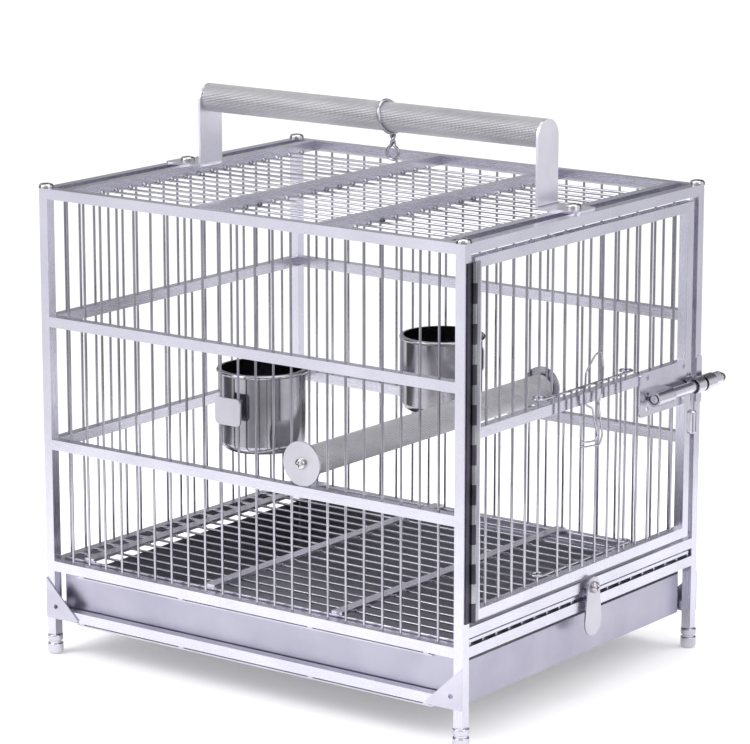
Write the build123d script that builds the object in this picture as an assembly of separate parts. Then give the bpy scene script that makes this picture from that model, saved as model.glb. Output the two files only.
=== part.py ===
from build123d import *
import math
import os

# Stainless-steel carrier cage for a bird, in millimetres.
# Long side along X, door on the +X end, +Z up, feet on Z = 0.
# The solids are drawn about the middle of the four posts and moved at the end,
# so that the origin lies under the middle of the whole object.

# --- driving dimensions -------------------------------------------------------
LENGTH = 500.0            # over the corner posts, along X
WIDTH = 400.0             # over the corner posts, along Y
TUBE = 10.0               # square tube of posts and rails
WALL = 1.0                # wall of that tube
POST_TOP = 465.0          # top face of posts and top rails
UPPER_RAIL_TOP = 340.0    # first rail down
LOWER_RAIL_TOP = 218.0    # second rail down
FLOOR_RAIL_TOP = 95.5     # rails at the level of the floor grate
TRAY_RAIL_TOP = 47.5      # rails beside the tray
GRATE_SLOT = 8.0          # free height of the slot that the grate slides through
WIRE = 2.5                # vertical and roof wires
WIRES_LONG = 22           # wires on each long side
WIRES_LEFT = 17           # wires on the closed end

FOOT_R = 7.75
FOOT_NECK_R = 6.25
FOOT_LOW_RING = 11.5
FOOT_NECK = 2.0
FOOT_TOP = 20.0
FOOT_STEM = 12.0

SCREW_HEAD_R = 5.6
SCREW_HEAD = 4.2
SCREW_R = 2.5
SCREW_SHANK = 8.0
SCREW_SLOT = 5.6          # cross recess: length, width and depth
SCREW_SLOT_W = 1.3
SCREW_SLOT_DEEP = 1.5
CAP_HEAD_R = 7.3          # wide heads on the posts and the handle's feet

ROOF_BARS_X = (-222.0, -61.0, 84.0, 222.0)
ROOF_WIRES = 17
ROOF_PITCH = 20.9
WELD_NUT_HALF = 7.0       # block between an outer roof bar and the end rail
WELD_NUT = 9.0

GUSSET_LEG_X = 39.0
GUSSET_LOW = 37.5
GUSSET_TOP = 78.0
GUSSET_TIP = 3.0
GUSSET_HOLE = 12.0        # hole centre from both edges
SHEET = 1.5

STRIP = 1.5               # thickness of the strips under the rails
STRIP_GAP = 1.1           # weld gap between a rail and its strip
STRIP_REACH = 18.0
STRIP_FROM, STRIP_TO = -212.0, 216.0
BEADS_X = (-206.0, -80.0, 76.0, 209.0)
BEAD_HALF = 3.0
LEDGE = 8.0

HANDLE_R = 14.0
HANDLE_WALL = 1.5
HANDLE_HALF = 200.0
HANDLE_Z = 534.0
BRACKET = 2.5
BRACKET_HALF = 17.0
BRACKET_END = 247.0
BRACKET_BEND = 2.0        # inner radius of its bend
BRACKET_CORNER = 5.0
HANDLE_SCREW_X = 231.0
HOOK_X = 24.0
HOOK_WIRE_R = 1.5
HOOK_RING_R = HANDLE_R + HOOK_WIRE_R + 0.08
HOOK_EYE_R = 7.5
HOOK_NECK = 12.0

DOOR_Y0, DOOR_Y1 = -184.0, 182.0
DOOR_Z0, DOOR_Z1 = 117.5, 451.0
DOOR_RAIL_TOP = 295.5
DOOR_WIRES = 16
DOOR_PITCH = 21.0
BAY_WIRES = 6             # wires that the feeder opening leaves out of the lower bay

HINGE_X, HINGE_Y = LENGTH / 2 + 1.5, -187.0
HINGE_R = 2.8
HINGE_PIN_R = 1.2
HINGE_Z0 = 118.0
KNUCKLES = 18
KNUCKLE = 18.3
KNUCKLE_GAP = 0.3
LEAF = 1.0
LEAF_REACH = 10.0
RUNNING = 0.05            # radial clearance of a pin in its hole

BOLT_X, BOLT_Z = LENGTH / 2 + 8.5, 271.0
BOLT_R = 5.4
BOLT_Y0, BOLT_Y1 = 108.0, 206.0
SPIGOT_R = 4.0
SPIGOT = 6.0
GUIDE_WALL = 1.9          # rolled guide at the left of the plate
GUIDE_Y0, GUIDE_Y1 = 102.0, 131.0
PLATE_Y0, PLATE_Y1 = 88.0, 171.0
PLATE_Z0, PLATE_Z1 = 254.0, 297.0
PLATE_CORNER = 4.0
PLATE_HOLE_R = 2.5
PLATE_HOLES_Y = (101.0, 166.0)
PLATE_HOLES_Z = (260.5, 291.5)
STEM_Y = 171.0
STEM_R = 1.6
GRIP_R = 4.5
GRIP_TOP, GRIP_LOW = 248.0, 225.0
SLEEVE_R = 8.0            # right guide and keeper, wide enough to pass the tip
SLEEVE_BORE = 7.2
SLEEVE_Y0, SLEEVE_Y1 = 173.0, 186.0
KEEPER_Y0, KEEPER_Y1 = 190.0, 206.0
KEEPER_Z0, KEEPER_Z1 = 249.0, 297.0
TIP_R = 6.9
TIP_END_R = 4.0
TIP_Y1 = 227.0
TIP_CONE = 8.0            # length of the tip's tapered end
TIP_GROOVES = 3
TIP_GROOVE_AT = 2.6       # first groove from the tip's inner face
TIP_GROOVE_PITCH = 3.2
TIP_GROOVE_DEEP = 0.9

FEED_WIRE_R = 1.1
FEED_X = LENGTH / 2 + 3.0
FEED_LOW_Z, FEED_HIGH_Z = 136.0, 303.0
FEED_TAIL = 5.0           # upright wires below the lower cross wire
LOOP_TURN = 300.0         # degrees

CLIP_R = 0.9
CLIP_X = FEED_X + 2.05

TRAY_X0, TRAY_X1 = -238.0, 237.5
TRAY_HALF = 188.0
TRAY_END_TOP = 76.0       # walls at the two ends
TRAY_SIDE_TOP = 82.5      # walls along the two long sides
TRAY_SHEET = 1.0

GRATE_X0, GRATE_X1 = -238.0, 248.0
GRATE_HALF = 187.0
GRATE_BARS_X = (-206.0, -54.0, 98.0, 242.0)
GRATE_BAR = 12.0
GRATE_BAR_T = 3.0
GRATE_WIRES = 19

LATCH_Y, LATCH_Z = 6.0, 107.0
LATCH_TOP_R = 10.0
LATCH_LOW_R = 14.0
LATCH_LOW_Z = 74.0
LATCH_SPACER = 4.0

CUP_X = -20.87            # midway between two wires
CUP_Y = 145.5
CUP_R = 40.5
CUP_H = 77.0
CUP_SHEET = 1.0
CUP_RIM = 1.9
CUP_CORNER = 8.0
CUP_BOTTOMS = {"front": 233.0, "back": 215.0}
HANGER_W, HANGER_H = 30.0, 26.0
HANGER_NECK = 12.0
HANGER_UP = 30.5          # lower edge of the hanger plate above the cup's bottom

PERCH_X, PERCH_Z = 66.0, 239.5
PERCH_R = 14.0
PERCH_WALL = 1.2
PERCH_PLUG = 3.0
DISC_R = 21.2
DISC = 2.0

HX, HY = LENGTH / 2, WIDTH / 2
HALF_TUBE = TUBE / 2
RAIL_Y = HY - HALF_TUBE
RAIL_X = HX - HALF_TUBE
WIRE_R = WIRE / 2
SILL_TOP = FLOOR_RAIL_TOP + GRATE_SLOT + TUBE

# the whole object reaches from the feet at the closed end to the keeper's front,
# and from the front feet to the bolt's tip
ORIGIN_X = (BOLT_X + SLEEVE_R - RAIL_X - FOOT_R) / 2
ORIGIN_Y = (TIP_Y1 - RAIL_Y - FOOT_R) / 2


# --- helpers ------------------------------------------------------------------
def write(node, *shapes):
    """Move the pieces of one node to the object's origin and write them."""
    solids = [s for shape in shapes for s in shape.solids()]
    moved = [Pos(-ORIGIN_X, -ORIGIN_Y, 0) * s for s in solids]
    export_step(moved[0] if len(moved) == 1 else Compound(children=moved), f"parts/{node}.step")


def block(x0, x1, y0, y1, z0, z1):
    size = (x1 - x0, y1 - y0, z1 - z0)
    return Pos((x0 + x1) / 2, (y0 + y1) / 2, (z0 + z1) / 2) * Box(*size)


def rod(axis, a, b, u, v, r):
    """Round bar along one axis from a to b; u and v are its other coordinates."""
    mid, length = (a + b) / 2, b - a
    if axis == "x":
        return Pos(mid, u, v) * Rot(0, 90, 0) * Cylinder(r, length)
    if axis == "y":
        return Pos(u, mid, v) * Rot(90, 0, 0) * Cylinder(r, length)
    return Pos(u, v, mid) * Cylinder(r, length)


def tube(axis, a, b, u, v):
    """Square tube along one axis from a to b; u and v are its centre line."""
    h, c = HALF_TUBE, HALF_TUBE - WALL
    if axis == "x":
        return block(a, b, u - h, u + h, v - h, v + h) - block(a, b, u - c, u + c, v - c, v + c)
    if axis == "y":
        return block(u - h, u + h, a, b, v - h, v + h) - block(u - c, u + c, a, b, v - c, v + c)
    return block(u - h, u + h, v - h, v + h, a, b) - block(u - c, u + c, v - c, v + c, a, b)


def pan_screw(shank, head_r=SCREW_HEAD_R):
    """Pan-head screw with a cross recess, head up from Z = 0, shank down."""
    head = Cylinder(head_r, SCREW_HEAD, align=(Align.CENTER, Align.CENTER, Align.MIN))
    head = fillet(head.edges().group_by(Axis.Z)[-1], SCREW_HEAD * 0.7)
    deep = 2 * SCREW_SLOT_DEEP
    cross = Box(SCREW_SLOT, SCREW_SLOT_W, deep) + Box(SCREW_SLOT_W, SCREW_SLOT, deep)
    pin = Pos(0, 0, -shank / 2) * Cylinder(SCREW_R, shank)
    return head - Pos(0, 0, SCREW_HEAD) * cross + pin


def spread(count, pitch, centre=0.0):
    return [centre + pitch * (i - (count - 1) / 2) for i in range(count)]


def rail_z(top):
    return top - HALF_TUBE


# --- wires of the walls and the roof --------------------------------------------
wires_x = spread(WIRES_LONG, (LENGTH - 2 * TUBE) / (WIRES_LONG + 1))
wires_y = spread(WIRES_LEFT, (WIDTH - 2 * TUBE) / (WIRES_LEFT + 1))
wire_z0 = FLOOR_RAIL_TOP - HALF_TUBE
wire_z1 = POST_TOP - HALF_TUBE
front_wires = [rod("z", wire_z0, wire_z1, x, -RAIL_Y, WIRE_R) for x in wires_x]
back_wires = [rod("z", wire_z0, wire_z1, x, RAIL_Y, WIRE_R) for x in wires_x]
left_wires = [rod("z", wire_z0, wire_z1, -RAIL_X, y, WIRE_R) for y in wires_y]


# --- frame: posts, feet and rails -------------------------------------------------
def post(x, y):
    """Corner tube closed at its top, drilled for the screw that caps it."""
    body = tube("z", FOOT_TOP, POST_TOP, x, y)
    lid = block(x - HALF_TUBE, x + HALF_TUBE, y - HALF_TUBE, y + HALF_TUBE, POST_TOP - SHEET, POST_TOP)
    return body + lid - rod("z", POST_TOP - SHEET, POST_TOP, x, y, SCREW_R)


def foot(x, y):
    """Turned foot: two rings and a neck, with a square stem up inside the post."""
    low = Cylinder(FOOT_R, FOOT_LOW_RING, align=(Align.CENTER, Align.CENTER, Align.MIN))
    low = fillet(low.edges().group_by(Axis.Z)[0], 3.5)
    low = fillet(low.edges().group_by(Axis.Z)[-1], 1.5)
    upper_low = FOOT_LOW_RING + FOOT_NECK
    ring_h = FOOT_TOP - upper_low
    ring = Pos(0, 0, upper_low + ring_h / 2) * Cylinder(FOOT_R, ring_h)
    ring = fillet(ring.edges().filter_by(GeomType.CIRCLE), 1.5)
    neck = Pos(0, 0, FOOT_LOW_RING + FOOT_NECK / 2) * Cylinder(FOOT_NECK_R, FOOT_NECK + 2)
    side = TUBE - 2 * WALL
    stem = Pos(0, 0, FOOT_TOP + FOOT_STEM / 2 - 1) * Box(side, side, FOOT_STEM + 2)
    return Pos(x, y, 0) * (low + neck + ring + stem)


corners = {
    "front_left": (-RAIL_X, -RAIL_Y),
    "front_right": (RAIL_X, -RAIL_Y),
    "back_right": (RAIL_X, RAIL_Y),
    "back_left": (-RAIL_X, RAIL_Y),
}
x_in, y_in = HX - TUBE, HY - TUBE


def frame_parts():
    for name, (x, y) in corners.items():
        write(f"post_{name}", post(x, y))
    write("feet", *[foot(x, y) for x, y in corners.values()])
    cap = pan_screw(SCREW_SHANK, CAP_HEAD_R)
    corner_screws = [Pos(x, y, POST_TOP) * cap for x, y in corners.values()]
    write("corner_screws", *corner_screws)
    middle = {"upper": UPPER_RAIL_TOP, "lower": LOWER_RAIL_TOP}
    long_sides = (("front", -RAIL_Y, front_wires), ("back", RAIL_Y, back_wires))
    for side, y, wires in long_sides:
        write(f"top_rail_{side}", tube("x", -x_in, x_in, y, rail_z(POST_TOP)) - wires)
        pair = [tube("x", -x_in, x_in, y, rail_z(top)) - wires for top in middle.values()]
        write(f"middle_rails_{side}", *pair)
        write(f"floor_rail_{side}", tube("x", -x_in, x_in, y, rail_z(FLOOR_RAIL_TOP)) - wires)
        write(f"tray_rail_{side}", tube("x", -x_in, x_in, y, rail_z(TRAY_RAIL_TOP)))
        write(f"{side}_wires", *wires)
    write("top_rail_left", tube("y", -y_in, y_in, -RAIL_X, rail_z(POST_TOP)) - left_wires)
    pair = [tube("y", -y_in, y_in, -RAIL_X, rail_z(top)) - left_wires for top in middle.values()]
    write("middle_rails_left", *pair)
    write("floor_rail_left", tube("y", -y_in, y_in, -RAIL_X, rail_z(FLOOR_RAIL_TOP)) - left_wires)
    write("tray_rail_left", tube("y", -y_in, y_in, -RAIL_X, rail_z(TRAY_RAIL_TOP)))
    write("left_wires", *left_wires)
    write("top_rail_door_end", tube("y", -y_in, y_in, RAIL_X, rail_z(POST_TOP)))
    write("floor_rail_door_end", tube("y", -y_in, y_in, RAIL_X, rail_z(FLOOR_RAIL_TOP)))


# --- gusset plates and the strips under the rails -----------------------------------
def gusset():
    """Three-cornered plate with a blunt tip and one hole, for the front left corner."""
    outline = Polyline(
        (-HX, GUSSET_TOP),
        (-HX, GUSSET_LOW),
        (-HX + GUSSET_LEG_X, GUSSET_LOW),
        (-HX + GUSSET_LEG_X + 1, GUSSET_LOW + GUSSET_TIP),
        close=True,
    )
    plate = extrude(Plane.XZ * make_face(outline), SHEET)
    hole = rod("y", -SHEET, 0, GUSSET_HOLE - HX, GUSSET_LOW + GUSSET_HOLE, SCREW_R)
    return Pos(0, -HY, 0) * (plate - hole)


def guide_strips(rail_low):
    """Flat strip hung under each long rail by short weld beads."""
    top = rail_low - STRIP_GAP
    strips = []
    for side in (-1, 1):
        edge, inner = side * (HY - 0.5), side * (HY - STRIP_REACH)
        y0, y1 = min(edge, inner), max(edge, inner)
        strip = block(STRIP_FROM, STRIP_TO, y0, y1, top - STRIP, top)
        b0, b1 = min(edge, side * y_in), max(edge, side * y_in)
        for x in BEADS_X:
            strip += block(x - BEAD_HALF, x + BEAD_HALF, b0, b1, top - STRIP / 2, rail_low)
        strips.append(strip)
    return strips


def corner_and_strip_parts():
    front_left = gusset()
    front_right = mirror(front_left, Plane.YZ)
    back = [mirror(g, Plane.XZ) for g in (front_left, front_right)]
    write("gusset_plates", front_left, front_right, *back)
    rail_undersides = (TRAY_RAIL_TOP - TUBE, FLOOR_RAIL_TOP - TUBE)
    write("tray_guides", *[s for low in rail_undersides for s in guide_strips(low)])
    ledge_z = (FLOOR_RAIL_TOP - STRIP, FLOOR_RAIL_TOP)
    front = block(-x_in, x_in, -y_in, -y_in + LEDGE, *ledge_z)
    write("grate_ledges", front, mirror(front, Plane.XZ))


# --- roof and carrying handle ---------------------------------------------------------
def bracket():
    """Bent flat bar with a round top, for the door end: upright, bend and foot."""
    top = HANDLE_Z + HANDLE_R
    round_z = top - BRACKET_HALF
    bend = Polyline(
        (HANDLE_HALF, top),
        (HANDLE_HALF, POST_TOP),
        (BRACKET_END, POST_TOP),
        (BRACKET_END, POST_TOP + BRACKET),
        (HANDLE_HALF + BRACKET, POST_TOP + BRACKET),
        (HANDLE_HALF + BRACKET, top),
        close=True,
    )
    body = Pos(0, BRACKET_HALF, 0) * extrude(Plane.XZ * make_face(bend), 2 * BRACKET_HALF)
    upright_edges = body.edges().filter_by(Axis.Y)
    outer = upright_edges.sort_by_distance((HANDLE_HALF, 0, POST_TOP))[0]
    body = fillet(outer, BRACKET + BRACKET_BEND)
    inner = body.edges().filter_by(Axis.Y).sort_by_distance(
        (HANDLE_HALF + BRACKET, 0, POST_TOP + BRACKET))[0]
    body = fillet(inner, BRACKET_BEND)
    low = block(0, HX, -BRACKET_HALF, BRACKET_HALF, 0, round_z)
    round_top = rod("x", HANDLE_HALF - 1, HANDLE_HALF + BRACKET + 1, 0, round_z, BRACKET_HALF)
    body = body & (low + round_top)
    ends = body.edges().filter_by(Axis.Z).sort_by(Axis.X)[-2:]
    return fillet(ends, BRACKET_CORNER)


def roof_parts():
    right_screw = Pos(HANDLE_SCREW_X, 0, POST_TOP + BRACKET) * pan_screw(SCREW_SHANK, CAP_HEAD_R)
    left_screw = mirror(right_screw, Plane.YZ)
    bars = [tube("y", -y_in, y_in, x, rail_z(POST_TOP)) for x in ROOF_BARS_X]
    nut_from = ROOF_BARS_X[3] + HALF_TUBE
    nut = block(nut_from, x_in, -WELD_NUT_HALF, WELD_NUT_HALF, POST_TOP - WELD_NUT, POST_TOP)
    bars[3] = bars[3] + nut - right_screw
    bars[0] = bars[0] + mirror(nut, Plane.YZ) - left_screw
    write("roof_bars", *bars)
    z = POST_TOP - TUBE - WIRE_R
    roof_wires = [rod("x", 1 - x_in, x_in - 1, y, z, WIRE_R) for y in spread(ROOF_WIRES, ROOF_PITCH)]
    write("roof_wires", *roof_wires)
    right = bracket() - right_screw
    write("handle_bracket_right", right)
    write("handle_bracket_left", mirror(right, Plane.YZ))
    write("handle_screws", left_screw, right_screw)
    grip = rod("x", -HANDLE_HALF, HANDLE_HALF, 0, HANDLE_Z, HANDLE_R)
    bore = rod("x", -HANDLE_HALF, HANDLE_HALF, 0, HANDLE_Z, HANDLE_R - HANDLE_WALL)
    write("handle_grip", grip - bore)
    ring = Pos(HOOK_X, 0, HANDLE_Z) * Rot(0, 90, 0) * Torus(HOOK_RING_R, HOOK_WIRE_R)
    neck_top = HANDLE_Z - HOOK_RING_R
    twist = rod("z", neck_top - HOOK_NECK, neck_top, HOOK_X, 0, 2 * HOOK_WIRE_R - 0.4)
    eye_z = neck_top - HOOK_NECK + 1 - HOOK_EYE_R
    eye = Pos(HOOK_X, 0, eye_z) * Rot(90, 0, 0) * Torus(HOOK_EYE_R, HOOK_WIRE_R)
    write("carry_hook", ring + twist + eye)


# --- door, hinge, bolt, feeder door and wire clip -----------------------------------
door_wires_y = spread(DOOR_WIRES, DOOR_PITCH, (DOOR_Y0 + DOOR_Y1) / 2)
first_bay = (DOOR_WIRES - BAY_WIRES) // 2
bay_y = door_wires_y[first_bay:first_bay + BAY_WIRES]
side_y = [y for y in door_wires_y if y not in bay_y]


def mitred(axis, a, b, u, v, inward):
    """Door tube cut at 45 degrees at both ends; inward points into the frame."""
    bar = tube(axis, a, b, u, v)
    size = 3 * TUBE
    out = size / 2 / math.sqrt(2)
    outer = v - inward * HALF_TUBE
    for end, sign in ((a, -1), (b, 1)):
        along, across = end + sign * out, outer + inward * out
        y, z = (along, across) if axis == "y" else (across, along)
        bar -= Pos(u, y, z) * Rot(45, 0, 0) * Box(size, size, size)
    return bar


def hinge_leaf(first, sign):
    """Leaf with every second knuckle; sign is the side of the pin it lies on."""
    y_far = HINGE_Y + sign * LEAF_REACH
    y_near = HINGE_Y + sign * 3.0
    height = KNUCKLES * KNUCKLE
    y0, y1 = min(y_far, y_near), max(y_far, y_near)
    leaf = block(HX, HX + LEAF, y0, y1, HINGE_Z0, HINGE_Z0 + height)
    pin_hole = HINGE_PIN_R + (RUNNING if sign > 0 else 0)
    for i in range(first, KNUCKLES, 2):
        z0 = HINGE_Z0 + i * KNUCKLE + KNUCKLE_GAP / 2
        z1 = z0 + KNUCKLE - KNUCKLE_GAP
        t0, t1 = min(y_near, HINGE_Y), max(y_near, HINGE_Y)
        leaf += block(HX, HX + LEAF, t0, t1, z0, z1)
        leaf += rod("z", z0, z1, HINGE_X, HINGE_Y, HINGE_R)
    return leaf - rod("z", HINGE_Z0 - 1, HINGE_Z0 + height + 1, HINGE_X, HINGE_Y, pin_hole)


def turned(points, y_start):
    """Turned piece on the bolt's axis: radius and distance along Y from y_start."""
    face = make_face(Polyline(*[(r, d) for r, d in points], close=True))
    return Pos(BOLT_X, y_start, BOLT_Z) * revolve(face, Axis.Y)


def door_parts():
    top = rail_z(DOOR_Z1)
    low = DOOR_Z0 + HALF_TUBE
    wires = [rod("z", low, top, RAIL_X, y, WIRE_R) for y in side_y]
    wires += [rod("z", rail_z(DOOR_RAIL_TOP), top, RAIL_X, y, WIRE_R) for y in bay_y]
    rails = [mitred("y", DOOR_Y0, DOOR_Y1, RAIL_X, z, s) - wires for z, s in ((top, -1), (low, 1))]
    stiles = [
        mitred("z", DOOR_Z0, DOOR_Z1, RAIL_X, DOOR_Y0 + HALF_TUBE, 1),
        mitred("z", DOOR_Z0, DOOR_Z1, RAIL_X, DOOR_Y1 - HALF_TUBE, -1),
    ]
    write("door_frame", *rails, *stiles)
    middle = tube("y", DOOR_Y0 + TUBE, DOOR_Y1 - TUBE, RAIL_X, rail_z(DOOR_RAIL_TOP))
    write("door_middle_rail", middle - wires)
    write("door_wires", *wires)
    write("hinge_leaf_post", hinge_leaf(0, -1))
    write("hinge_leaf_door", hinge_leaf(1, 1))
    pin_top = HINGE_Z0 + KNUCKLES * KNUCKLE
    write("hinge_pin", rod("z", HINGE_Z0, pin_top, HINGE_X, HINGE_Y, HINGE_PIN_R))


def bolt_parts():
    plate = block(HX, HX + SHEET, PLATE_Y0, PLATE_Y1, PLATE_Z0, PLATE_Z1)
    plate = fillet(plate.edges().filter_by(Axis.X), PLATE_CORNER)
    for y in PLATE_HOLES_Y:
        for z in PLATE_HOLES_Z:
            plate -= rod("x", HX, HX + SHEET, y, z, PLATE_HOLE_R)
    guide_bore = BOLT_R + RUNNING
    guide_r = guide_bore + GUIDE_WALL
    guide = rod("y", GUIDE_Y0, GUIDE_Y1, BOLT_X, BOLT_Z, guide_r)
    guide += block(HX, BOLT_X, GUIDE_Y0, GUIDE_Y1, BOLT_Z + guide_bore, BOLT_Z + guide_r)
    guide -= rod("y", GUIDE_Y0, GUIDE_Y1, BOLT_X, BOLT_Z, guide_bore)
    guide -= block(HX + SHEET, BOLT_X - guide_bore + 1, GUIDE_Y0, GUIDE_Y1, BOLT_Z - 2, BOLT_Z + 2)
    sleeve = rod("y", SLEEVE_Y0, SLEEVE_Y1, BOLT_X, BOLT_Z, SLEEVE_R)
    tongue = block(HX, HX + SHEET, PLATE_Y1 - 1, DOOR_Y1, BOLT_Z - SLEEVE_R, BOLT_Z + SLEEVE_R)
    sleeve = sleeve + tongue - rod("y", SLEEVE_Y0, SLEEVE_Y1, BOLT_X, BOLT_Z, SLEEVE_BORE)
    write("bolt_plate", plate + guide + sleeve)
    spigot = rod("y", BOLT_Y0 - SPIGOT, BOLT_Y0, BOLT_X, BOLT_Z, SPIGOT_R)
    write("bolt_rod", rod("y", BOLT_Y0, BOLT_Y1, BOLT_X, BOLT_Z, BOLT_R) + spigot)
    stem = rod("z", GRIP_TOP - 3, BOLT_Z - BOLT_R / 2, BOLT_X, STEM_Y, STEM_R)
    stem -= rod("y", BOLT_Y0, BOLT_Y1, BOLT_X, BOLT_Z, guide_bore)
    grip = rod("z", GRIP_LOW, GRIP_TOP, BOLT_X, STEM_Y, GRIP_R)
    grip = fillet(grip.edges().group_by(Axis.Z)[-1], 2.5)
    grip = fillet(grip.edges().group_by(Axis.Z)[0], 1.2)
    write("bolt_handle", stem + grip)
    weld = block(HX, HX + SHEET, HY - TUBE, HY, KEEPER_Z0, KEEPER_Z1)
    weld = fillet(weld.edges().filter_by(Axis.X), PLATE_CORNER)
    keeper = weld + rod("y", KEEPER_Y0, KEEPER_Y1, BOLT_X, BOLT_Z, SLEEVE_R)
    write("bolt_keeper", keeper - rod("y", KEEPER_Y0, KEEPER_Y1, BOLT_X, BOLT_Z, SLEEVE_BORE))
    length = TIP_Y1 - BOLT_Y1
    ribs = [(0, 0), (TIP_R, 0)]
    groove_r, slope = TIP_R - TIP_GROOVE_DEEP, TIP_GROOVE_PITCH / 6
    for i in range(TIP_GROOVES):
        at = TIP_GROOVE_AT + TIP_GROOVE_PITCH * i
        ribs += [(TIP_R, at), (groove_r, at + slope), (groove_r, at + 2 * slope), (TIP_R, at + 3 * slope)]
    ribs += [(TIP_R, length - TIP_CONE), (TIP_END_R, length), (0, length)]
    write("bolt_tip", turned(ribs, BOLT_Y1))


def cross_wire(z):
    """Level wire of the feeder door, ending in an open loop round a fixed wire."""
    cross_x = FEED_X - 2 * FEED_WIRE_R
    loop_r = cross_x - RAIL_X
    left, right = bay_y[0] - DOOR_PITCH, bay_y[-1] + DOOR_PITCH
    path = Wire([
        CenterArc((RAIL_X, left, z), loop_r, 0, -LOOP_TURN),
        Line((cross_x, left, z), (cross_x, right, z)),
        CenterArc((RAIL_X, right, z), loop_r, 0, LOOP_TURN),
    ])
    return sweep(Plane(origin=path @ 0, z_dir=path % 0) * Circle(FEED_WIRE_R), path)


def feeder_parts():
    low, high = FEED_LOW_Z - FEED_TAIL, FEED_HIGH_Z + FEED_WIRE_R + 1
    write("feeder_cross_wires", cross_wire(FEED_LOW_Z), cross_wire(FEED_HIGH_Z))
    write("feeder_uprights", *[rod("z", low, high, FEED_X, y, FEED_WIRE_R) for y in bay_y])
    write("wire_clip", wire_clip())


def wire_clip():
    """Sprung wire bent to a long loop; both ends hook round one upright wire."""
    wire_y = bay_y[2]
    reach = FEED_WIRE_R + CLIP_R + RUNNING
    side_y, back_x = wire_y - reach, FEED_X - reach
    loop = [
        (13.5, 244),
        (17.5, 253),
        (10, 284),
        (16, 292),
        (17.5, 318),
        (14, 334),
        (3, 331),
        (-12, 317),
        (-13, 299),
        (-10.5, 286),
        (0, 281),
        (5, 265),
        (10, 253),
        (4, 249),
    ]
    low, high = 246.5, 251.0
    path = FilletPolyline(
        (back_x, wire_y + 1.6, low),
        (back_x, side_y, low),
        (CLIP_X, side_y, low),
        *[(CLIP_X, y, z) for y, z in loop],
        (CLIP_X, side_y, high),
        (back_x, side_y, high),
        (back_x, wire_y + 1.6, high),
        radius=[1.2, 1.2, 3, 4, 4, 4, 5, 3.5, 4, 5, 4, 4, 4, 5, 2.5, 1.5, 1.2, 1.2],
    )
    section = Plane(origin=path @ 0, z_dir=path % 0) * Circle(CLIP_R)
    return sweep(section, path)


# --- tray, grate and swing latch -----------------------------------------------------
def tray():
    """Folded sheet tray with higher walls along its two long sides."""
    low = TRAY_RAIL_TOP - TUBE - STRIP_GAP + 0.1
    shell = block(TRAY_X0, TRAY_X1, -TRAY_HALF, TRAY_HALF, low, TRAY_SIDE_TOP)
    shell = fillet(shell.edges().filter_by(Axis.Z), 3)
    x0, x1, y1 = TRAY_X0 + TRAY_SHEET, TRAY_X1 - TRAY_SHEET, TRAY_HALF - TRAY_SHEET
    inside = block(x0, x1, -y1, y1, low + TRAY_SHEET, TRAY_SIDE_TOP)
    inside = fillet(inside.edges().filter_by(Axis.Z), 2)
    return shell - inside - block(TRAY_X0, TRAY_X1, -y1, y1, TRAY_END_TOP, TRAY_SIDE_TOP)


def grate_parts():
    wire_z = FLOOR_RAIL_TOP + 0.2 + WIRE_R
    bar_z = wire_z + WIRE_R
    pitch = 2 * (GRATE_HALF - WIRE_R) / (GRATE_WIRES - 1)
    wires = [rod("x", GRATE_X0, GRATE_X1, y, wire_z, WIRE_R) for y in spread(GRATE_WIRES, pitch)]
    write("grate_wires", *wires)
    half = GRATE_BAR / 2
    bars = [block(x - half, x + half, -GRATE_HALF, GRATE_HALF, bar_z, bar_z + GRATE_BAR_T)
            for x in GRATE_BARS_X]
    write("grate_bars", *bars)


def latch_parts():
    """Drop-shaped plate that hangs from its screw, off the sill by a welded spacer."""
    face = HX + LATCH_SPACER
    x0, x1 = face + RUNNING, face + RUNNING + SHEET
    tall = LATCH_Z - LATCH_LOW_Z
    outline = make_hull((Pos(0, tall) * Circle(LATCH_TOP_R) + Circle(LATCH_LOW_R)).edges())
    outline -= Pos(0, tall) * Circle(SCREW_R + RUNNING)
    plate = extrude(Plane.YZ * outline, SHEET)
    write("swing_latch", Pos(x0, LATCH_Y, LATCH_LOW_Z) * plate)
    shank = x1 + RUNNING - HX + WALL
    screw = Pos(x1 + RUNNING, LATCH_Y, LATCH_Z) * Rot(0, 90, 0) * pan_screw(shank)
    spacer = rod("x", HX, face, LATCH_Y, LATCH_Z, SCREW_R + 2)
    write("latch_screw", screw)
    sill = tube("y", -y_in, y_in, RAIL_X, rail_z(SILL_TOP))
    write("sill_rail", sill + spacer - screw)


# --- cups and perch -------------------------------------------------------------------
def cup(x, y, low):
    """Deep round cup with a rolled rim and a soft bottom corner."""
    base = (Align.CENTER, Align.CENTER, Align.MIN)
    outer = Cylinder(CUP_R, CUP_H, align=base)
    outer = fillet(outer.edges().group_by(Axis.Z)[0], CUP_CORNER)
    inner = Pos(0, 0, CUP_SHEET) * Cylinder(CUP_R - CUP_SHEET, CUP_H, align=base)
    inner = fillet(inner.edges().group_by(Axis.Z)[0], CUP_CORNER - CUP_SHEET)
    rim = Pos(0, 0, CUP_H - CUP_RIM) * Torus(CUP_R - CUP_SHEET + CUP_RIM + 0.2, CUP_RIM)
    return Pos(x, y, low) * (outer - inner + rim)


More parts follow.
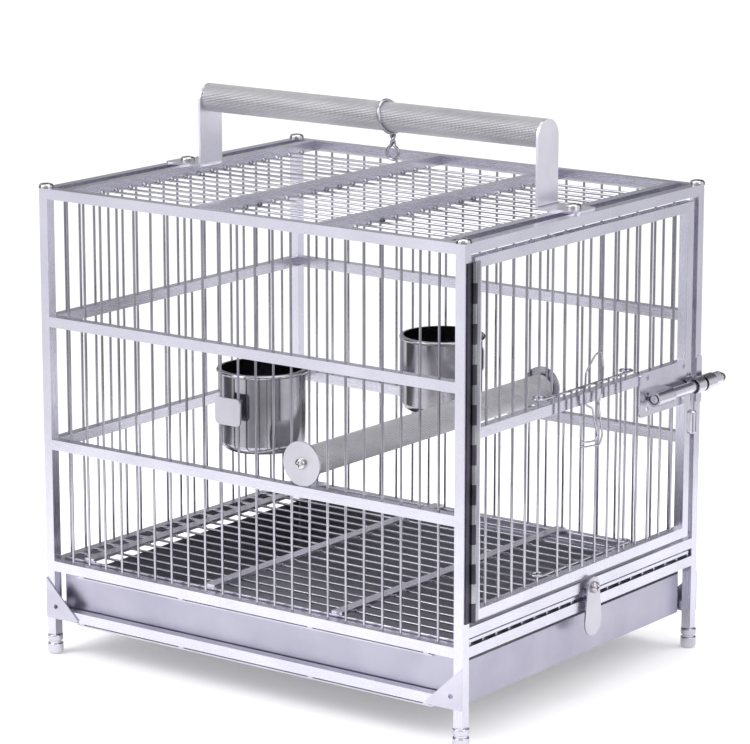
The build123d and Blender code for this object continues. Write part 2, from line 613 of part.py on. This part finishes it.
def hanger(x, y, low, side):
    """Neck between two wires and a plate outside them, to hang one cup."""
    z0 = low + HANGER_UP
    face = side * (RAIL_Y + WIRE_R + 0.25)
    back = face + side * DISC
    y0, y1 = min(face, back), max(face, back)
    plate = block(x - HANGER_W / 2, x + HANGER_W / 2, y0, y1, z0, z0 + HANGER_H)
    plate = fillet(plate.edges().filter_by(Axis.Y), 5)
    n0, n1 = min(y, face), max(y, face)
    neck = block(x - HANGER_NECK / 2, x + HANGER_NECK / 2, n0, n1, z0 + 5, z0 + HANGER_H - 5)
    neck -= Pos(x, y, low) * Cylinder(CUP_R, 4 * CUP_H)
    return plate + neck


def perch_parts():
    inner = RAIL_Y - WIRE_R
    outer = RAIL_Y + WIRE_R
    body = rod("y", -inner, inner, PERCH_X, PERCH_Z, PERCH_R)
    body -= rod("y", PERCH_PLUG - inner, inner - PERCH_PLUG, PERCH_X, PERCH_Z, PERCH_R - PERCH_WALL)
    shank = outer + DISC - inner + PERCH_PLUG
    screws = []
    for side, angle in ((-1, 90), (1, -90)):
        at = Pos(PERCH_X, side * (outer + DISC), PERCH_Z)
        screws.append(at * Rot(angle, 0, 0) * pan_screw(shank))
    write("perch_screws", *screws)
    write("perch", body - screws)
    disc = rod("y", outer, outer + DISC, PERCH_X, PERCH_Z, DISC_R) - screws
    write("perch_discs", disc, mirror(disc, Plane.XZ))


def cup_parts():
    for name, side in (("front", -1), ("back", 1)):
        low = CUP_BOTTOMS[name]
        write(f"{name}_cup", cup(CUP_X, side * CUP_Y, low))
        write(f"{name}_cup_hanger", hanger(CUP_X, side * CUP_Y, low, side))


os.makedirs("parts", exist_ok=True)
frame_parts()
corner_and_strip_parts()
roof_parts()
door_parts()
bolt_parts()
feeder_parts()
write("tray", tray())
grate_parts()
latch_parts()
cup_parts()
perch_parts()
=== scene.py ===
import bpy
import math
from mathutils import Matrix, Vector


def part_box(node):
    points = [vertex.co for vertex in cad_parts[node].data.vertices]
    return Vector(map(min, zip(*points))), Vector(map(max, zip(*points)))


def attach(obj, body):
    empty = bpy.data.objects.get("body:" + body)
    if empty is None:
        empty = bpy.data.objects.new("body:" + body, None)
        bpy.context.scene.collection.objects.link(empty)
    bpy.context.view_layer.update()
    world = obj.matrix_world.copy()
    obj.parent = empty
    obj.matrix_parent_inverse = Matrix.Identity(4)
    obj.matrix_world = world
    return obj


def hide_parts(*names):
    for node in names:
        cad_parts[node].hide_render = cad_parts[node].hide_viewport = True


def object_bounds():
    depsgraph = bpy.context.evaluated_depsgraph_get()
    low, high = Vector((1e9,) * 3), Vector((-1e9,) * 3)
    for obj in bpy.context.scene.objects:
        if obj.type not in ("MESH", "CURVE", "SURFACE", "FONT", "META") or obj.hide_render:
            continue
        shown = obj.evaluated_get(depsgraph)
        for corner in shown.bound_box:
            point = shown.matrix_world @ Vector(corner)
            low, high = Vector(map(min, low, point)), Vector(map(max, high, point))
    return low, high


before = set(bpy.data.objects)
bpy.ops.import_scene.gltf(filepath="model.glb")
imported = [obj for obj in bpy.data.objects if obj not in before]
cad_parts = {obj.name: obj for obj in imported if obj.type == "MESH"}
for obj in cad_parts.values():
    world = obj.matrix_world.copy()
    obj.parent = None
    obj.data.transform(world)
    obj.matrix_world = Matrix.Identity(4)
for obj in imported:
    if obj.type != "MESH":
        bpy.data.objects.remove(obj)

cad_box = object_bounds()

# --- Camera, floor and light -------------------------------------------------------
# The cage stands on a plain white table, lit softly from above and a little from
# below. Dark flags round the light tent give round polished steel its dark edges.
camera = bpy.data.objects.new("camera", bpy.data.cameras.new("camera"))
bpy.context.scene.collection.objects.link(camera)
camera.data.lens = 166.1
camera.data.clip_end = 50
camera.location = (1.9588, -2.6449, 1.0160)
camera.rotation_euler = (math.radians(90 - 12.598), 0, math.radians(36.707))
bpy.context.scene.camera = camera

bpy.context.scene.view_settings.view_transform = "Standard"

middle = (Vector(cad_box[0]) + Vector(cad_box[1])) / 2


def soft_box(name, place, size, watts):
    lamp = bpy.data.objects.new(name, bpy.data.lights.new(name, "AREA"))
    lamp.data.size = size
    lamp.data.energy = watts
    lamp.location = place
    lamp.rotation_euler = (middle - Vector(place)).to_track_quat("-Z", "Y").to_euler()
    bpy.context.scene.collection.objects.link(lamp)


soft_box("key_light", (-1.2, -2.0, 2.4), 1.6, 34)
soft_box("fill_light", (2.4, -0.6, 1.6), 1.4, 14)
soft_box("top_light", (0.0, 0.4, 2.8), 1.8, 24)
wash = bpy.data.objects.new("wash_light", bpy.data.lights.new("wash_light", "SUN"))
wash.data.energy = 0.7
wash.data.angle = math.radians(100)
wash.rotation_euler = (math.radians(20), 0, 0)
bpy.context.scene.collection.objects.link(wash)

bpy.ops.mesh.primitive_plane_add(size=1.7)
floor = bpy.context.object
floor.name = "floor"

white = bpy.data.materials.new("white_sweep")
white.use_nodes = True
floor_nodes, floor_links = white.node_tree.nodes, white.node_tree.links
paper = floor_nodes["Principled BSDF"]
paper.inputs["Roughness"].default_value = 0.9
paper.inputs["Emission Color"].default_value = (1, 1, 1, 1)
paper.inputs["Emission Strength"].default_value = 0.25
paper_noise = floor_nodes.new("ShaderNodeTexNoise")
paper_noise.inputs["Scale"].default_value = 2.0
paper_ramp = floor_nodes.new("ShaderNodeValToRGB")
paper_ramp.color_ramp.elements[0].color = (0.93, 0.93, 0.94, 1)
paper_ramp.color_ramp.elements[1].color = (0.96, 0.96, 0.97, 1)
floor_links.new(paper_noise.outputs["Fac"], paper_ramp.inputs["Fac"])
floor_links.new(paper_ramp.outputs["Color"], paper.inputs["Base Color"])
floor.data.materials.append(white)

tent = bpy.data.worlds.new("light_tent")
bpy.context.scene.world = tent
tent.use_nodes = True
sky, sky_links = tent.node_tree.nodes, tent.node_tree.links
sky.clear()
around = sky.new("ShaderNodeTexCoord")
turn = sky.new("ShaderNodeTexGradient")
turn.gradient_type = "RADIAL"
flags = sky.new("ShaderNodeValToRGB")
flags.color_ramp.interpolation = "EASE"
# each wall or flag of the tent: where it stands, as a share of a turn, and its grey
tent_walls = (
    (0.0, 0.1), (0.09, 0.1), (0.13, 0.95), (0.2, 0.95), (0.27, 0.4), (0.44, 0.4), (0.54, 0.9),
    (0.66, 0.8), (0.69, 0.08), (0.83, 0.1), (0.845, 0.4), (0.86, 0.4), (0.875, 0.08), (1.0, 0.1),
)
for at, grey in tent_walls:
    stop = flags.color_ramp.elements.new(at)
    stop.color = (grey, grey, grey * 1.03, 1)
whole = sky.new("ShaderNodeBackground")
whole.inputs["Strength"].default_value = 1.25
seen = sky.new("ShaderNodeBackground")
seen.inputs["Color"].default_value = (1, 1, 1, 1)
seen.inputs["Strength"].default_value = 1.1
ray = sky.new("ShaderNodeLightPath")
either = sky.new("ShaderNodeMixShader")
tent_out = sky.new("ShaderNodeOutputWorld")
sky_links.new(around.outputs["Generated"], turn.inputs["Vector"])
sky_links.new(turn.outputs["Fac"], flags.inputs["Fac"])
sky_links.new(flags.outputs["Color"], whole.inputs["Color"])
sky_links.new(ray.outputs["Is Camera Ray"], either.inputs["Fac"])
sky_links.new(whole.outputs["Background"], either.inputs[1])
sky_links.new(seen.outputs["Background"], either.inputs[2])
sky_links.new(either.outputs["Shader"], tent_out.inputs["Surface"])


# --- Corner posts and rails -------------------------------------------------------
# Square stainless tube, welded at every joint and then polished along its length,
# which leaves a fine grain and a slightly uneven, cloudy sheen.
def steel(name, light, dark, rough, along, bump=0.25, grain=1100.0):
    """Stainless steel: clouded tint and gloss, and fine grain running along one axis."""
    material = bpy.data.materials.new(name)
    material.use_nodes = True
    nodes, links = material.node_tree.nodes, material.node_tree.links
    metal = nodes["Principled BSDF"]
    metal.inputs["Metallic"].default_value = 1.0
    place = nodes.new("ShaderNodeTexCoord")
    cloud = nodes.new("ShaderNodeTexNoise")
    cloud.inputs["Scale"].default_value = 22.0
    cloud.inputs["Detail"].default_value = 5.0
    links.new(place.outputs["Object"], cloud.inputs["Vector"])
    tint = nodes.new("ShaderNodeValToRGB")
    tint.color_ramp.elements[0].position = 0.32
    tint.color_ramp.elements[0].color = (*dark, 1)
    tint.color_ramp.elements[1].position = 0.68
    tint.color_ramp.elements[1].color = (*light, 1)
    links.new(cloud.outputs["Fac"], tint.inputs["Fac"])
    links.new(tint.outputs["Color"], metal.inputs["Base Color"])
    stretch = nodes.new("ShaderNodeMapping")
    stretch.inputs["Scale"].default_value = [grain * (0.02 if axis == along else 1.0) for axis in "xyz"]
    links.new(place.outputs["Object"], stretch.inputs["Vector"])
    scratch = nodes.new("ShaderNodeTexNoise")
    scratch.inputs["Scale"].default_value = 1.0
    scratch.inputs["Detail"].default_value = 3.0
    links.new(stretch.outputs["Vector"], scratch.inputs["Vector"])
    gloss = nodes.new("ShaderNodeMapRange")
    gloss.inputs["To Min"].default_value = rough * 0.75
    gloss.inputs["To Max"].default_value = rough * 1.3
    links.new(scratch.outputs["Fac"], gloss.inputs["Value"])
    links.new(gloss.outputs["Result"], metal.inputs["Roughness"])
    relief = nodes.new("ShaderNodeBump")
    relief.inputs["Strength"].default_value = bump
    relief.inputs["Distance"].default_value = 0.00008
    links.new(scratch.outputs["Fac"], relief.inputs["Height"])
    links.new(relief.outputs["Normal"], metal.inputs["Normal"])
    return material


def dress(material, *names, edge=0.0):
    """Gives CAD nodes their finish and breaks their sharp edges."""
    for name in names:
        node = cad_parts[name]
        if not node.data.materials:
            node.data.materials.append(material)
        for place in node.material_slots:
            place.material = material
        if edge:
            soften = node.modifiers.new("broken_edges", "BEVEL")
            soften.width = edge
            soften.segments = 2
            soften.limit_method = "ANGLE"
            soften.angle_limit = math.radians(50)
            soften.harden_normals = True


tube_light, tube_dark = (0.67, 0.66, 0.74), (0.61, 0.60, 0.68)
tube_edge = 0.0006
tube_steel = {axis: steel(f"tube_steel_{axis}", tube_light, tube_dark, 0.26, axis) for axis in "xyz"}
posts = ["post_front_left", "post_front_right", "post_back_right", "post_back_left"]
dress(tube_steel["z"], *posts, edge=tube_edge)
dress(tube_steel["x"], "top_rail_front", "top_rail_back", "middle_rails_front", "middle_rails_back",
      "floor_rail_front", "floor_rail_back", "tray_rail_front", "tray_rail_back", edge=tube_edge)
dress(tube_steel["y"], "top_rail_left", "top_rail_door_end", "middle_rails_left", "floor_rail_left",
      "floor_rail_door_end", "sill_rail", "tray_rail_left", edge=tube_edge)


# --- Wires of the walls --------------------------------------------------------------
# Polished stainless wire, threaded through holes in the rails. It mirrors the room,
# so it looks darker than the tubes; its colour is set darker than theirs as painted
# reflection, and it has a faint grain along its length.
wire_steel = {axis: steel(f"wire_steel_{axis}", (0.50, 0.49, 0.54), (0.36, 0.35, 0.40), 0.10, axis, 0.15)
              for axis in "xyz"}
dress(wire_steel["z"], "front_wires", "back_wires", "left_wires", "door_wires")


# --- Feet and corner screws -------------------------------------------------------------
# Each foot is turned from bar with a groove between two rings, and pressed up the
# post. A pan-head screw closes the top of the post.
turned_steel = steel("turned_steel", (0.66, 0.65, 0.71), (0.50, 0.49, 0.55), 0.16, "x", 0.3, 1600.0)
dress(turned_steel, "feet")
screw_steel = steel("screw_steel", (0.66, 0.64, 0.64), (0.44, 0.42, 0.44), 0.18, "y", 0.2)
dress(screw_steel, "corner_screws", "handle_screws", "perch_screws", "latch_screw")


# --- Gusset plates and strips under the rails -----------------------------------------
# Plates and strips sheared from flat stock. The plates are welded across the foot
# of each post; the strips hang on weld beads and guide the tray.
plate_steel = steel("plate_steel", (0.58, 0.57, 0.65), (0.48, 0.47, 0.55), 0.3, "x", 0.3)
dress(plate_steel, "gusset_plates", "tray_guides", "grate_ledges", edge=0.0003)


# --- Roof -----------------------------------------------------------------------------
# Four square tubes cross the top, with wires welded under them from end to end.
# A blob of weld shows wherever a wire meets a tube. Its dark part is painted shade,
# for the dark gaps where the wires pass under the tubes.
dress(tube_steel["y"], "roof_bars", edge=tube_edge)
dress(wire_steel["x"], "roof_wires")

# the near-black end of the weld's tint is painted shade
weld_and_painted_shade = steel("weld_and_painted_shade", (0.62, 0.61, 0.66), (0.10, 0.10, 0.12), 0.22, "y", 0.6, 2500.0)


def weld_spots(name, body, spots, size):
    """One piece of small flattened blobs, each on its own spot."""
    verts, faces = [], []
    rings, sides = 4, 8
    for spot in spots:
        start = len(verts)
        for ring in range(1, rings):
            rise = math.pi * ring / rings
            for side in range(sides):
                angle = 2 * math.pi * side / sides
                verts.append((spot[0] + size[0] * math.sin(rise) * math.cos(angle),
                              spot[1] + size[1] * math.sin(rise) * math.sin(angle),
                              spot[2] + size[2] * math.cos(rise)))
        top = len(verts)
        verts.append((spot[0], spot[1], spot[2] + size[2]))
        verts.append((spot[0], spot[1], spot[2] - size[2]))
        for side in range(sides):
            after = (side + 1) % sides
            faces.append((top, start + side, start + after))
            for ring in range(rings - 2):
                low, next_low = start + ring * sides, start + (ring + 1) * sides
                faces.append((low + side, next_low + side, next_low + after, low + after))
            last = start + (rings - 2) * sides
            faces.append((top + 1, last + after, last + side))
    mesh = bpy.data.meshes.new(name)
    mesh.from_pydata(verts, [], faces)
    mesh.polygons.foreach_set("use_smooth", [True] * len(mesh.polygons))
    mesh.materials.append(weld_and_painted_shade)
    piece = bpy.data.objects.new(name, mesh)
    bpy.context.scene.collection.objects.link(piece)
    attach(piece, body)


bars_low, bars_high = (Vector(corner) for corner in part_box("roof_bars"))
roof_low, roof_high = (Vector(corner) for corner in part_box("roof_wires"))
tube_half = 0.005
bar_middle = (bars_low.x + bars_high.x) / 2
bar_x = [bar_middle + place for place in (-0.222, -0.061, 0.084, 0.222)]
roof_wire_r = 0.00125
roof_count = 17
roof_step = (roof_high.y - roof_low.y - 2 * roof_wire_r) / (roof_count - 1)
roof_y = [roof_low.y + roof_wire_r + roof_step * i for i in range(roof_count)]
roof_weld, weld_climb = (0.0024, 0.0034, 0.0030), 0.0004
roof_spots = [(x + side * tube_half, y, bars_low.z + weld_climb)
              for x in bar_x for side in (-1, 1) for y in roof_y]
weld_spots("roof_welds", "cage", roof_spots, roof_weld)


# --- Carrying handle --------------------------------------------------------------------
# A knurled tube, welded between two bent flat brackets. Their feet are screwed to
# nuts welded beside the outer roof tubes. The knurl is a fine, dull diamond pattern.
def knurled(name, axis, low, high):
    """Dull tube steel with a diamond knurl wrapped round a tube along one axis."""
    material = steel(name, (0.74, 0.73, 0.76), (0.66, 0.65, 0.68), 0.34, axis, 0.2)
    nodes, links = material.node_tree.nodes, material.node_tree.links
    metal = nodes["Principled BSDF"]
    centre = (Vector(low) + Vector(high)) / 2
    place = nodes.new("ShaderNodeTexCoord")
    shift = nodes.new("ShaderNodeMapping")
    shift.inputs["Location"].default_value = -centre
    links.new(place.outputs["Object"], shift.inputs["Vector"])
    parts = nodes.new("ShaderNodeSeparateXYZ")
    links.new(shift.outputs["Vector"], parts.inputs["Vector"])
    run, across = ("X", "Y") if axis == "x" else ("Y", "X")

    def step(operation, a, b):
        node = nodes.new("ShaderNodeMath")
        node.operation = operation
        for socket, value in zip(node.inputs, (a, b)):
            if isinstance(value, (int, float)):
                socket.default_value = value
            else:
                links.new(value, socket)
        return node.outputs["Value"]

    teeth, pitch = 28, 0.0031
    turned = step("MULTIPLY", step("ARCTAN2", parts.outputs["Z"], parts.outputs[across]), float(teeth))
    along = step("MULTIPLY", parts.outputs[run], 2 * math.pi / pitch)
    right = step("SINE", step("ADD", along, turned), 0.0)
    left = step("SINE", step("SUBTRACT", along, turned), 0.0)
    diamond = step("MULTIPLY", right, left)
    relief = nodes.new("ShaderNodeBump")
    relief.inputs["Strength"].default_value = 1.0
    relief.inputs["Distance"].default_value = 0.0006
    links.new(diamond, relief.inputs["Height"])
    links.new(relief.outputs["Normal"], metal.inputs["Normal"])
    cloudy = metal.inputs["Base Color"].links[0].from_socket
    # The colour follows the knurl's height: darker in the grooves as painted shade, and lighter on the
    # tips.
    groove_shade_range = nodes.new("ShaderNodeMapRange")
    groove_shade_range.inputs["From Min"].default_value = -1.0
    groove_shade_range.inputs["To Min"].default_value = 0.5
    groove_shade_range.inputs["To Max"].default_value = 1.4
    links.new(diamond, groove_shade_range.inputs["Value"])
    groove_shaded_colour = nodes.new("ShaderNodeVectorMath")
    groove_shaded_colour.operation = "SCALE"
    links.new(cloudy, groove_shaded_colour.inputs[0])
    links.new(groove_shade_range.outputs["Result"], groove_shaded_colour.inputs["Scale"])
    links.new(groove_shaded_colour.outputs["Vector"], metal.inputs["Base Color"])
    return material


dress(knurled("grip_steel", "x", *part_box("handle_grip")), "handle_grip")
bracket_steel = steel("bracket_steel", (0.82, 0.81, 0.88), (0.72, 0.71, 0.78), 0.3, "z", 0.25)
dress(bracket_steel, "handle_bracket_left", "handle_bracket_right", edge=0.0004)


# --- Carry hook ---------------------------------------------------------------------------
# One length of polished wire goes round the grip, twists on itself and closes in a
# small eye. It hangs loose, so it swings and can be pushed along the grip.
hook_low, hook_high = (Vector(corner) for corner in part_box("carry_hook"))
grip_low, grip_high = (Vector(corner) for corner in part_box("handle_grip"))
hook_x = (hook_low.x + hook_high.x) / 2
grip_y, grip_z = (grip_low.y + grip_high.y) / 2, (grip_low.z + grip_high.z) / 2
hook_wire = 0.0015
ring_r = hook_high.z - grip_z - hook_wire
eye_r = 0.0068
eye_lift, neck_lap = 0.0004, 0.0006
eye_z = hook_low.z + hook_wire + eye_r + eye_lift
neck_low, neck_high = eye_z + eye_r, grip_z - ring_r + neck_lap
twist_r, twist_turns, twist_steps = 0.0016, 0.75, 8
ring_from, ring_sweep, ring_steps = math.radians(-80), math.radians(340), 18
ring_lean, ring_offset = 0.009, 0.0016
eye_steps = 16


def strand(start):
    """One of the two twisted strands of the neck, from the eye up to the ring."""
    line = []
    for i in range(twist_steps + 1):
        share = i / twist_steps
        angle = start + 2 * math.pi * twist_turns * share
        line.append((hook_x + twist_r * math.cos(angle), grip_y + twist_r * math.sin(angle),
                     neck_low + (neck_high - neck_low) * share))
    return line


hook_line = strand(0.0)
for i in range(ring_steps + 1):
    share = i / ring_steps
    angle = ring_from + ring_sweep * share
    lean = ring_lean * math.sin(math.pi * share) ** 2 + ring_offset * (2 * share - 1)
    hook_line.append((hook_x - lean, grip_y + ring_r * math.cos(angle), grip_z + ring_r * math.sin(angle)))
hook_line += reversed(strand(math.pi))
for i in range(1, eye_steps):
    angle = math.pi / 2 + 2 * math.pi * i / eye_steps
    hook_line.append((hook_x + eye_r * math.cos(angle), grip_y, eye_z + eye_r * math.sin(angle)))
hook_curve = bpy.data.curves.new("carry_hook_wire", "CURVE")
hook_curve.dimensions = "3D"
hook_curve.bevel_depth = hook_wire
hook_curve.bevel_resolution = 4
hook_spline = hook_curve.splines.new("NURBS")
hook_spline.points.add(len(hook_line) - 1)
for point, place in zip(hook_spline.points, hook_line):
    point.co = (*place, 1)
hook_spline.order_u = 3
hook_spline.use_cyclic_u = True
hook_curve.materials.append(wire_steel["z"])
carry_hook = bpy.data.objects.new("carry_hook_wire", hook_curve)
bpy.context.scene.collection.objects.link(carry_hook)
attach(carry_hook, "hook")
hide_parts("carry_hook")


# --- Door ------------------------------------------------------------------------------
# Square tube cut at 45 degrees and welded at the corners, with a middle rail above
# the feeder opening and fixed wires let into the tubes.
dress(tube_steel["z"], "door_frame", edge=tube_edge)
dress(tube_steel["y"], "door_middle_rail", edge=tube_edge)


# --- Piano hinge -----------------------------------------------------------------------
# Two leaves of thin sheet, rolled into knuckles round one long pin, one on the post
# and one on the door's stile. Both are darker than the tubes. The leaf on the post is
# near black: painted shade, for the dark gap along the hinge.
hinge_steel = steel("hinge_steel", (0.42, 0.42, 0.45), (0.24, 0.24, 0.27), 0.2, "z", 0.2)
dress(hinge_steel, "hinge_leaf_door", "hinge_pin")
# the near-black colour of the post's leaf is painted shade
dress(steel("post_leaf_painted_shade", (0.10, 0.09, 0.12), (0.04, 0.04, 0.05), 0.3, "z", 0.2), "hinge_leaf_post")


# --- Bolt ----------------------------------------------------------------------------------
# A plate with rolled guides, a solid rod with a grooved tip, a pull that hangs from
# the rod, and a keeper on the post.
bolt_steel = steel("bolt_steel", (0.68, 0.67, 0.74), (0.54, 0.53, 0.60), 0.24, "y", 0.25)
dress(bolt_steel, "bolt_plate", "bolt_keeper", edge=0.0003)
bolt_rod_steel = steel("bolt_rod_steel", (0.76, 0.75, 0.82), (0.62, 0.61, 0.68), 0.26, "y", 0.2)
dress(bolt_rod_steel, "bolt_rod", "bolt_tip")
dress(steel("bolt_pull_steel", (0.70, 0.69, 0.74), (0.52, 0.51, 0.56), 0.14, "z", 0.15), "bolt_handle")


# --- Feeder door and its clip -----------------------------------------------------------------
# Thick polished wires welded to two cross wires whose ends curl round fixed wires
# of the door. A bent spring wire hooked on one upright keeps it shut.
dress(wire_steel["z"], "feeder_uprights", "wire_clip")
dress(wire_steel["y"], "feeder_cross_wires")
upright_low, upright_high = (Vector(corner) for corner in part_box("feeder_uprights"))
cross_low, cross_high = (Vector(corner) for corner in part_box("feeder_cross_wires"))
feeder_wire_r = (upright_high.x - upright_low.x) / 2
upright_count = 6
upright_step = (upright_high.y - upright_low.y - 2 * feeder_wire_r) / (upright_count - 1)
cross_z = (cross_low.z + feeder_wire_r, cross_high.z - feeder_wire_r)
feeder_weld = (0.0009, 0.0017, 0.0017)
feeder_spots = [(upright_low.x, upright_low.y + feeder_wire_r + upright_step * i, z)
                for i in range(upright_count) for z in cross_z]
weld_spots("feeder_welds", "feeder", feeder_spots, feeder_weld)


# --- Tray and its latch --------------------------------------------------------------------
# The tray is folded from thin sheet with a satin mill finish. Its floor and the inner
# faces of its walls are coloured darker, which is a guess: painted shade for the inside
# of the tray. A drop-shaped plate on a screw in the sill hangs in front of it.
def paint_inside_shade(material, low, high, skin):
    """Paints shade: darkens the faces further in than the skin from the piece's four sides."""
    nodes, links = material.node_tree.nodes, material.node_tree.links
    base = nodes["Principled BSDF"].inputs["Base Color"]
    bright = base.links[0].from_socket
    place = nodes.new("ShaderNodeTexCoord")
    parts = nodes.new("ShaderNodeSeparateXYZ")
    links.new(place.outputs["Object"], parts.inputs["Vector"])
    inside = None
    for axis, lowest, highest in (("X", low.x, high.x), ("Y", low.y, high.y)):
        for operation, edge in (("GREATER_THAN", lowest + skin), ("LESS_THAN", highest - skin)):
            test = nodes.new("ShaderNodeMath")
            test.operation = operation
            links.new(parts.outputs[axis], test.inputs[0])
            test.inputs[1].default_value = edge
            if inside is None:
                inside = test.outputs["Value"]
                continue
            both = nodes.new("ShaderNodeMath")
            both.operation = "MULTIPLY"
            links.new(inside, both.inputs[0])
            links.new(test.outputs["Value"], both.inputs[1])
            inside = both.outputs["Value"]
    inside_shade = nodes.new("ShaderNodeMix")
    inside_shade.data_type = "RGBA"
    links.new(inside, inside_shade.inputs["Factor"])
    colours = [socket for socket in inside_shade.inputs if socket.type == "RGBA"]
    links.new(bright, colours[0])
    # painted shade colour for the inside of the tray
    colours[1].default_value = (0.27, 0.27, 0.30, 1)
    links.new([socket for socket in inside_shade.outputs if socket.type == "RGBA"][0], base)


tray_low, tray_high = (Vector(corner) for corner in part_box("tray"))
tray_steel = steel("tray_steel", (0.44, 0.43, 0.51), (0.38, 0.37, 0.45), 0.32, "y", 0.3)
tray_skin = 0.0006
paint_inside_shade(tray_steel, tray_low, tray_high, tray_skin)
dress(tray_steel, "tray", edge=0.0003)
latch_steel = steel("latch_steel", (0.58, 0.57, 0.62), (0.50, 0.49, 0.54), 0.3, "z", 0.3)
dress(latch_steel, "swing_latch", edge=0.0003)


# --- Floor grate -----------------------------------------------------------------------------
# Straight wires under four flat bars, welded where they cross. The bead of weld
# shows on both sides of the three bars inside the cage.
dress(wire_steel["x"], "grate_wires")
dress(tube_steel["y"], "grate_bars", edge=0.0004)
grate_low, grate_high = (Vector(corner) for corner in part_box("grate_wires"))
grate_wire_r = (grate_high.z - grate_low.z) / 2
grate_count = 19
grate_step = (grate_high.y - grate_low.y - 2 * grate_wire_r) / (grate_count - 1)
grate_bar_x = [bar_middle + place for place in (-0.206, -0.054, 0.098)]
grate_bar_half = 0.006
grate_weld = (0.0014, 0.0016, 0.0009)
grate_spots = [(x + side * grate_bar_half, grate_low.y + grate_wire_r + grate_step * i, grate_high.z)
               for x in grate_bar_x for side in (-1, 1) for i in range(grate_count)]
weld_spots("grate_welds", "cage", grate_spots, grate_weld)


# --- Cups -------------------------------------------------------------------------------------
# Deep-drawn cups with a rolled rim, polished to a mirror. Each hangs from a plate
# outside the wires by a neck that passes between two of them.
cup_steel = steel("cup_steel", (0.44, 0.43, 0.46), (0.32, 0.31, 0.34), 0.12, "x", 0.12, 900.0)
dress(cup_steel, "front_cup", "back_cup")
dress(latch_steel, "front_cup_hanger", "back_cup_hanger", edge=0.0004)


# --- Perch --------------------------------------------------------------------------------------
# A knurled tube between the long sides, held by a disc and a screw outside the wires
# at each end.
dress(knurled("perch_steel", "y", *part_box("perch")), "perch")
dress(latch_steel, "perch_discs", edge=0.0004)
